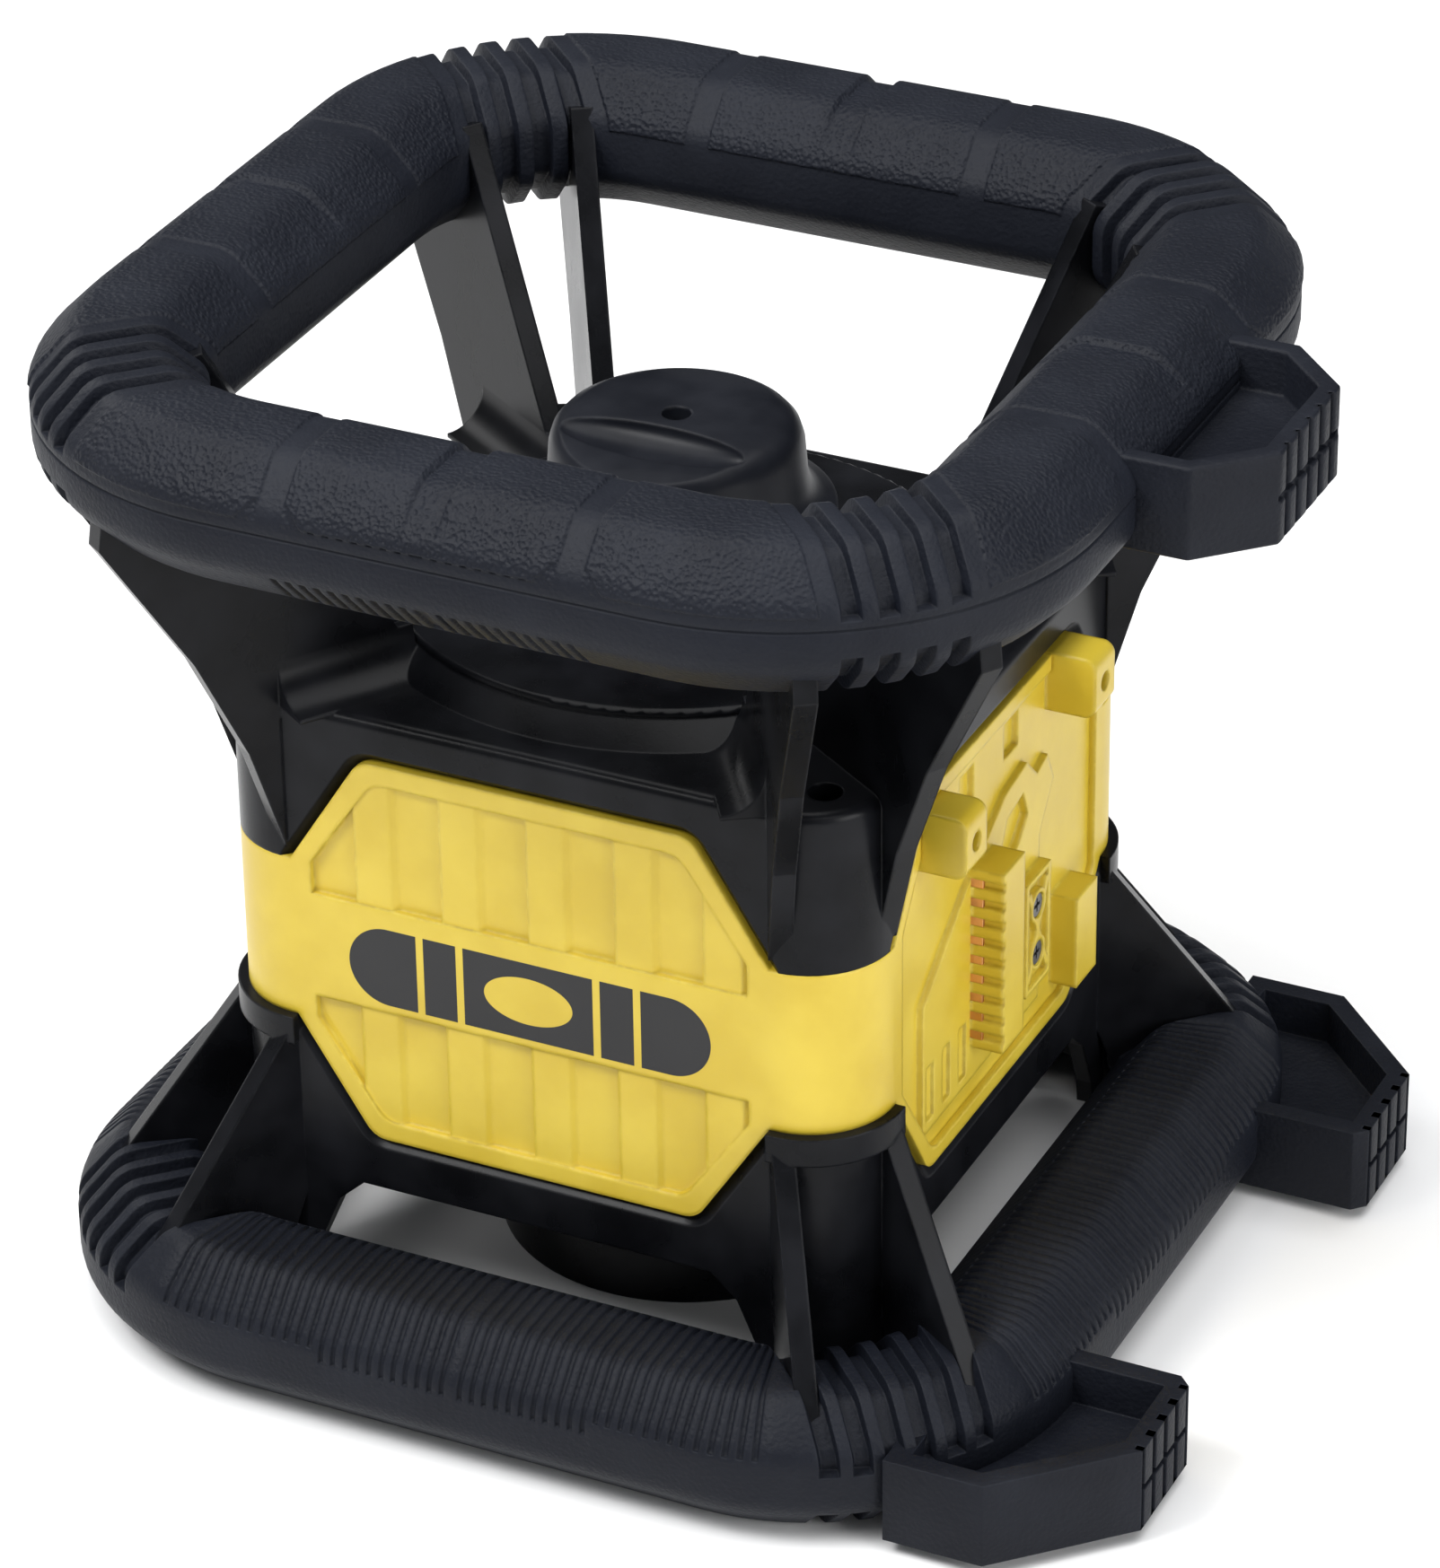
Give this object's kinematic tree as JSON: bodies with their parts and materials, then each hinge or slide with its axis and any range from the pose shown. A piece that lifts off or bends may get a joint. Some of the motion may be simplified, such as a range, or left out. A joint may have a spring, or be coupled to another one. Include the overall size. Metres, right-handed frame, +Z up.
{
  "type": "rotating laser level",
  "caption": "Rotating laser level: square body in a cage of two rubber bumper rings, turret with tinted window, battery bay, keypad and self-levelling rotor inside.",
  "frame": {"origin": "on the rotor axis, at the mouth of the tripod thread, level with the resting plane", "axes": "+Z up along the rotor axis, +X out of the battery bay side where the three side feet end, -Y out of the front panel"},
  "size_m": [0.2745, 0.248, 0.246],
  "materials": {
    "black_shell": "moulded black shell, satin to gloss",
    "yellow_shell": "moulded yellow shell, satin",
    "grip_rubber": "grained black rubber",
    "foot_rubber": "smooth black rubber",
    "cap_plastic": "satin black",
    "cast_alloy": "die cast",
    "turned_alloy": "turned",
    "brass": "turned",
    "screw_steel": "black oxide",
    "pin_steel": "ground",
    "motor_steel": "drawn can",
    "seal_rubber": "matte",
    "belt_rubber": "matte",
    "button_rubber": "soft matte",
    "tinted_glass": "tinted",
    "clear_glass": "clear",
    "sensor_glass": "tinted liquid",
    "contact_copper": "plated contact",
    "keypad_black": "fine texture",
    "light_pipe": "diffuse",
    "circuit_board": "solder mask",
    "nut_plastic": "acetal"
  },
  "bodies": {
    "housing": {"base_grip": "grip_rubber", "base_plate": "cast_alloy", "base_screws": "screw_steel", "battery_dock": "yellow_shell", "battery_terminals": "contact_copper", "buzzer": "keypad_black", "dock_screws": "screw_steel", "front_base_foot": "foot_rubber", "gimbal_pins_x": "pin_steel", "handle_foot": "foot_rubber", "handle_grip": "grip_rubber", "housing_screws": "screw_steel", "keypad_board": "circuit_board", "keypad_panel": "keypad_black", "level_motor_x": "motor_steel", "level_motor_y": "motor_steel", "lower_housing": "black_shell", "main_board": "circuit_board", "middle_casing": "yellow_shell", "plumb_window": "clear_glass", "rear_base_foot": "foot_rubber", "status_lights": "light_pipe", "support_frame": "cast_alloy", "thread_insert": "brass", "turret_base": "black_shell", "turret_cap": "cap_plastic", "turret_screws": "screw_steel", "turret_seal": "seal_rubber", "turret_window": "tinted_glass", "upper_housing": "black_shell"},
    "gimbal": {"gimbal_ring": "cast_alloy", "gimbal_pins_y": "pin_steel"},
    "platform": {"tilt_platform": "cast_alloy", "spindle_tube": "turned_alloy", "lower_bearing": "pin_steel", "upper_bearing": "pin_steel", "laser_module": "brass", "tilt_sensors": "sensor_glass", "drive_motor": "motor_steel", "drive_belt": "belt_rubber"},
    "rotor": {"rotor_shaft": "pin_steel", "rotor_pulley": "turned_alloy", "rotor_head": "turned_alloy", "prism": "clear_glass"},
    "motor_drive": {"motor_pulley": "turned_alloy"},
    "level_nut_x": {"level_nut_x": "nut_plastic"},
    "level_nut_y": {"level_nut_y": "nut_plastic"},
    "level_screw_x": {"level_screw_x": "pin_steel"},
    "level_screw_y": {"level_screw_y": "pin_steel"},
    "power_button": {"power_button": "button_rubber"},
    "speed_button": {"speed_button": "button_rubber"},
    "scan_button": {"scan_button": "button_rubber"},
    "tilt_up_button": {"tilt_up_button": "button_rubber"},
    "tilt_down_button": {"tilt_down_button": "button_rubber"}
  },
  "joints": [
    {"name": "tilt_x", "type": "hinge", "parent": "housing", "child": "gimbal", "pos_m": [0, 0, 0.148], "axis": [1, 0, 0], "range_deg": [-5, 5]},
    {"name": "tilt_y", "type": "hinge", "parent": "gimbal", "child": "platform", "pos_m": [0, 0, 0.148], "axis": [0, 1, 0], "range_deg": [-5, 5]},
    {"name": "rotor_spin", "type": "hinge", "parent": "platform", "child": "rotor", "pos_m": [0, 0, 0.148], "axis": [0, 0, 1], "continuous": true},
    {"name": "motor_spin", "type": "hinge", "parent": "platform", "child": "motor_drive", "pos_m": [-0.024, 0, 0.148], "axis": [0, 0, 1], "continuous": true},
    {"name": "level_nut_x_slide", "type": "slide", "parent": "housing", "child": "level_nut_x", "axis": [0, 1, 0], "range_m": [-0.0037, 0.0037]},
    {"name": "level_nut_y_slide", "type": "slide", "parent": "housing", "child": "level_nut_y", "axis": [1, 0, 0], "range_m": [-0.0045, 0.0045]},
    {"name": "level_screw_x_turn", "type": "hinge", "parent": "housing", "child": "level_screw_x", "pos_m": [0, -0.037, 0.1065], "axis": [0, 1, 0], "range_deg": [-440, 440]},
    {"name": "level_screw_y_turn", "type": "hinge", "parent": "housing", "child": "level_screw_y", "pos_m": [-0.037, 0, 0.0975], "axis": [1, 0, 0], "range_deg": [-535, 535]},
    {"name": "power_press", "type": "slide", "parent": "housing", "child": "power_button", "axis": [1, 0, 0], "range_m": [0, 0.0008], "stiffness_N_per_m": 350, "springref_m": -0.0008},
    {"name": "speed_press", "type": "slide", "parent": "housing", "child": "speed_button", "axis": [1, 0, 0], "range_m": [0, 0.0008], "stiffness_N_per_m": 350, "springref_m": -0.0008},
    {"name": "scan_press", "type": "slide", "parent": "housing", "child": "scan_button", "axis": [1, 0, 0], "range_m": [0, 0.0008], "stiffness_N_per_m": 350, "springref_m": -0.0008},
    {"name": "tilt_up_press", "type": "slide", "parent": "housing", "child": "tilt_up_button", "axis": [1, 0, 0], "range_m": [0, 0.0008], "stiffness_N_per_m": 350, "springref_m": -0.0008},
    {"name": "tilt_down_press", "type": "slide", "parent": "housing", "child": "tilt_down_button", "axis": [1, 0, 0], "range_m": [0, 0.0008], "stiffness_N_per_m": 350, "springref_m": -0.0008}
  ],
  "couplings": [
    {"joint": "motor_spin", "follows": "rotor_spin", "ratio": 2.5789},
    {"joint": "level_nut_x_slide", "follows": "tilt_x", "m_per_rad": 0.0415},
    {"joint": "level_nut_y_slide", "follows": "tilt_y", "m_per_rad": -0.0505},
    {"joint": "level_screw_x_turn", "follows": "tilt_x", "ratio": 86.917},
    {"joint": "level_screw_y_turn", "follows": "tilt_y", "ratio": -105.77}
  ]
}
